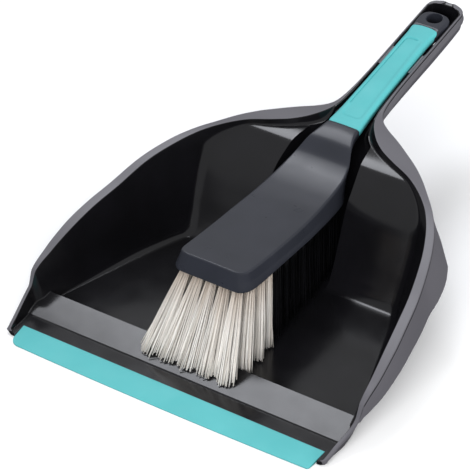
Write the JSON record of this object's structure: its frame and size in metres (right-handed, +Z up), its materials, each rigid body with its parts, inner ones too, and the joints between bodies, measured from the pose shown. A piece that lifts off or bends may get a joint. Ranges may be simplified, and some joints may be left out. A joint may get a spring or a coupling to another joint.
{
  "type": "dustpan and brush",
  "caption": "Dustpan with a soft lip, ramp, flared rim and trough handle, holding a hand brush with a soft grip and two colours of bristle.",
  "frame": {"origin": "on the ground, below the middle of the whole set's box", "axes": "+Y from the lip to the end of the handle, +X to the right along the lip, +Z up"},
  "size_m": [0.2522, 0.3588, 0.1043],
  "materials": {
    "charcoal_plastic": "moulded polypropylene with a soft gloss",
    "brush_plastic": "moulded polypropylene, satin",
    "turquoise_rubber": "soft moulded rubber, matt",
    "cream_bristle": "drawn filaments, slightly shiny",
    "black_bristle": "drawn filaments, slightly shiny",
    "staple_steel": "bright drawn wire"
  },
  "bodies": {
    "dustpan": {"pan_body": "charcoal_plastic", "lip_strip": "turquoise_rubber"},
    "brush": {"brush_body": "brush_plastic", "grip_pad": "turquoise_rubber", "tuft_staples": "staple_steel", "cream_tufts_row_1": "cream_bristle", "cream_tufts_row_2": "cream_bristle", "cream_tufts_row_3": "cream_bristle", "cream_tufts_row_4": "cream_bristle", "black_tufts_row_1": "black_bristle", "black_tufts_row_2": "black_bristle", "black_tufts_row_3": "black_bristle", "black_tufts_row_4": "black_bristle", "black_tufts_row_5": "black_bristle", "black_tufts_row_6": "black_bristle", "black_tufts_row_7": "black_bristle", "black_tufts_row_8": "black_bristle", "black_tufts_row_9": "black_bristle"}
  },
  "joints": [
    {"name": "brush_lift", "type": "slide", "parent": "dustpan", "child": "brush", "axis": [0, 0, 1], "range_m": [0, 0.12]}
  ]
}
